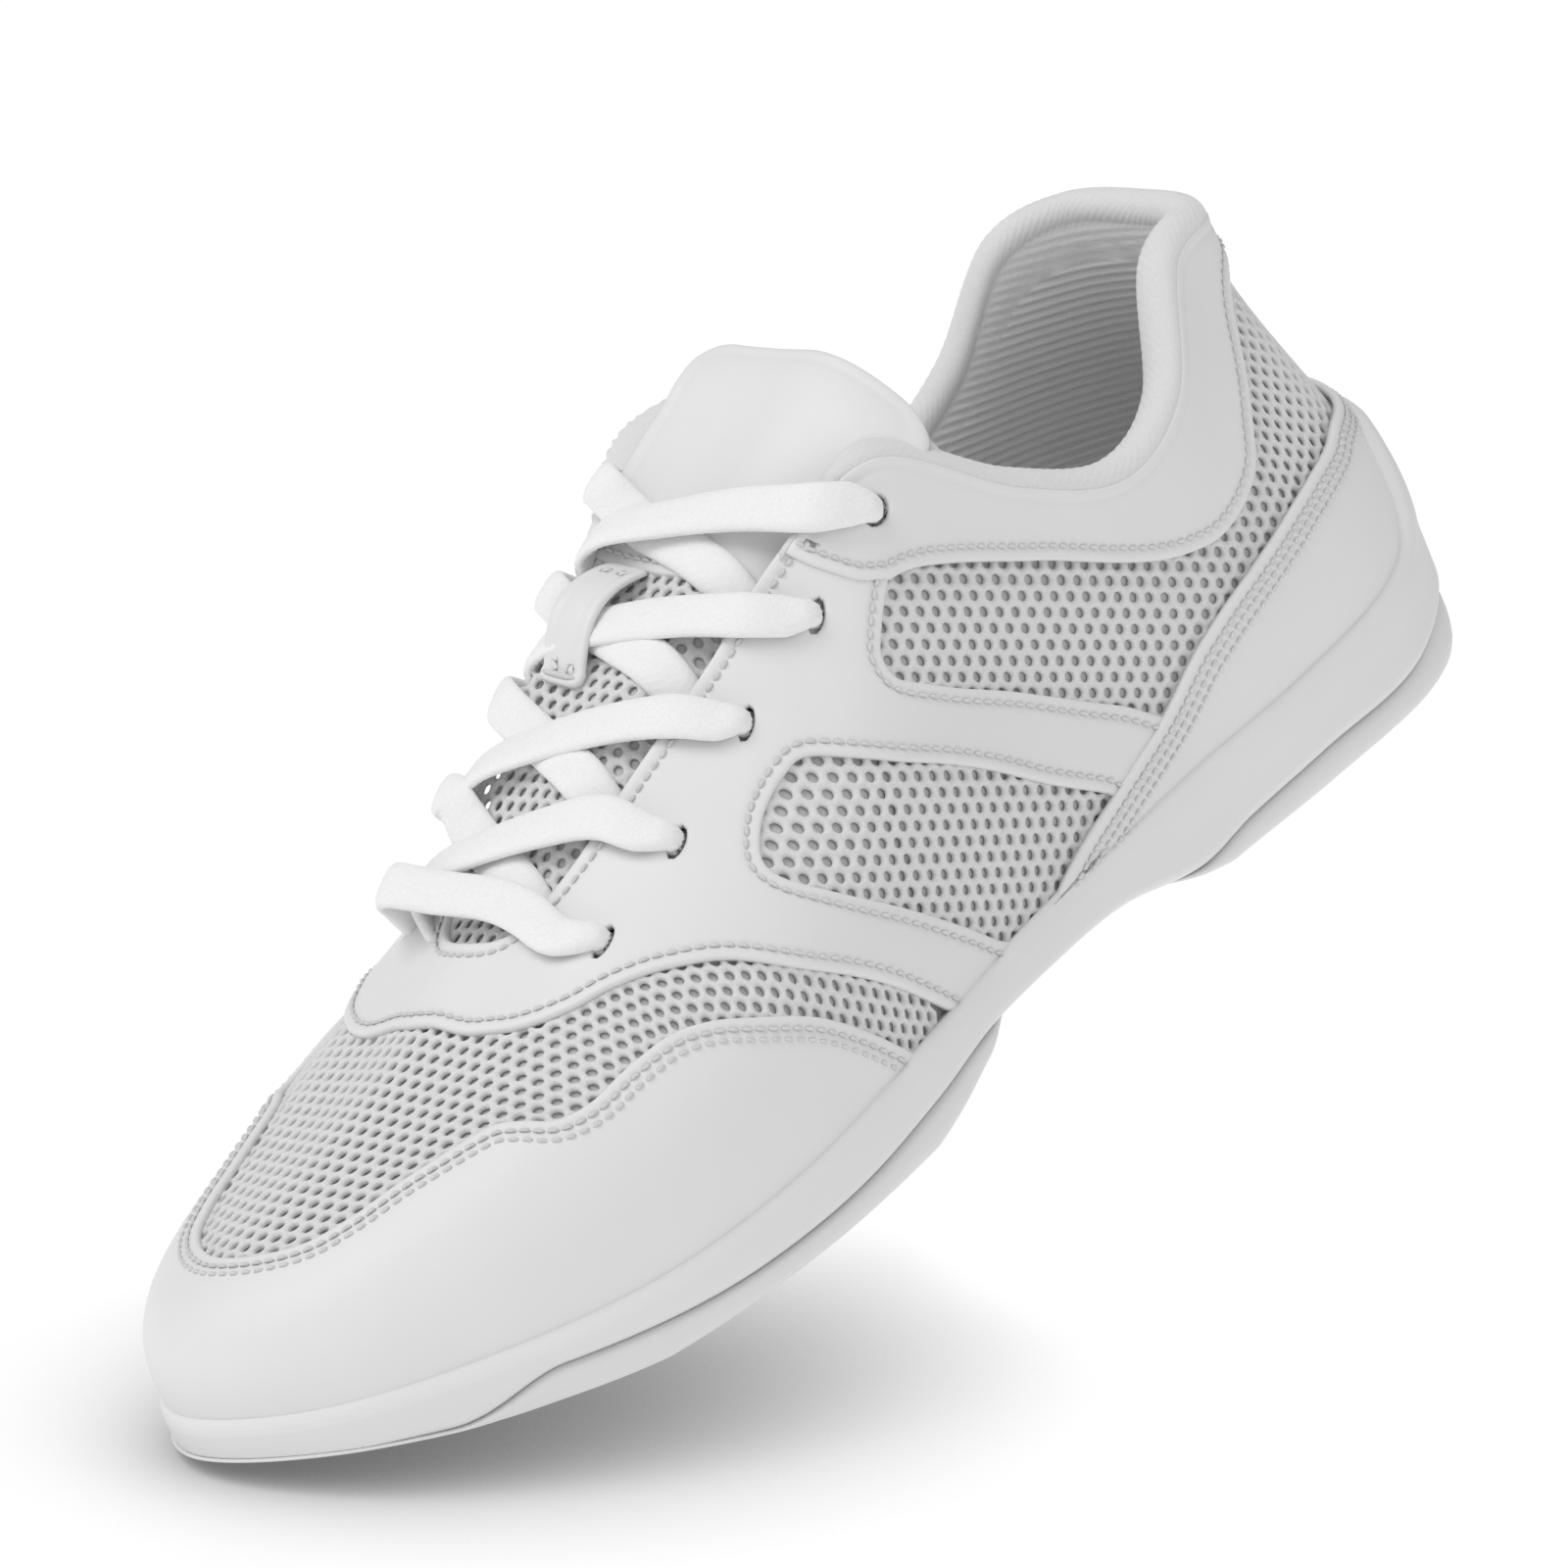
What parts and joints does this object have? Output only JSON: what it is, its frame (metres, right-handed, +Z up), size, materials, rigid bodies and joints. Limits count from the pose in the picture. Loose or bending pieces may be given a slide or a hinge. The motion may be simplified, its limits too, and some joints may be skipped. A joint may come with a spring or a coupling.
{
  "type": "low laced cheer shoe",
  "caption": "Low white cheer shoe for the left foot: thin flexible sole, open mesh upper with stitched leather overlays, padded collar, tongue and flat laces.",
  "frame": {"origin": "centre of the shoe's bounding box in plan, at ground level", "axes": "+Z up, toe towards -Y, outer (lateral) side of the foot towards +X"},
  "size_m": [0.0926, 0.2624, 0.0985],
  "materials": {
    "rubber": "matt white rubber with a fine tread",
    "midsole_foam": "smooth matt white moulded foam",
    "leather": "smooth semi-matt white synthetic leather, sewn edges",
    "mesh": "open white hexagonal sports mesh over a pale grey backing",
    "collar_textile": "white knitted textile with fine diagonal ribs",
    "lining_textile": "plain pale grey-white knitted lining",
    "foam": "open cell foam, hidden",
    "board": "fibre board, hidden",
    "stiffener": "thermoplastic sheet, hidden",
    "shank_plastic": "glass filled nylon, hidden",
    "lace": "flat white woven lace",
    "thread": "white sewing thread"
  },
  "bodies": {
    "rear_shoe": {"heel_outsole": "rubber", "midsole": "midsole_foam", "arch_shank": "shank_plastic", "lasting_board": "board", "sockliner_foam": "foam", "sockliner_cover": "lining_textile", "vamp_lining": "lining_textile", "quarter_lining": "lining_textile", "collar_foam": "foam", "collar_lining": "collar_textile", "heel_counter": "stiffener", "quarter_mesh_lateral": "mesh", "quarter_mesh_medial": "mesh", "eyestay": "leather", "collar_overlay": "leather", "heel_foxing": "leather", "eyelet_stay_lateral": "stiffener", "eyelet_stay_medial": "stiffener", "tongue_mesh": "mesh", "tongue_foam": "foam", "tongue_lining": "lining_textile", "tongue_lace_loop": "leather", "shoelace": "lace"},
    "forefoot": {"forefoot_outsole": "rubber", "toe_puff": "stiffener", "vamp_mesh": "mesh", "toe_cap": "leather"},
    "tongue_top": {"tongue_face": "leather"}
  },
  "joints": [
    {"name": "toe_flex", "type": "hinge", "parent": "rear_shoe", "child": "forefoot", "pos_m": [0, -0.048, 0.004], "axis": [-1, 0, 0], "range_deg": [0, 32], "deforming": ["forefoot_outsole", "midsole", "lasting_board", "sockliner_foam", "sockliner_cover", "vamp_lining", "vamp_mesh", "toe_cap", "eyestay", "eyelet_stay_lateral", "eyelet_stay_medial", "tongue_mesh", "tongue_foam", "tongue_lining", "shoelace"]},
    {"name": "tongue_fold", "type": "hinge", "parent": "rear_shoe", "child": "tongue_top", "pos_m": [0, 0.0295, 0.0885], "axis": [1, 0, 0], "range_deg": [-8, 35], "deforming": ["tongue_face", "tongue_foam", "tongue_lining"]}
  ]
}
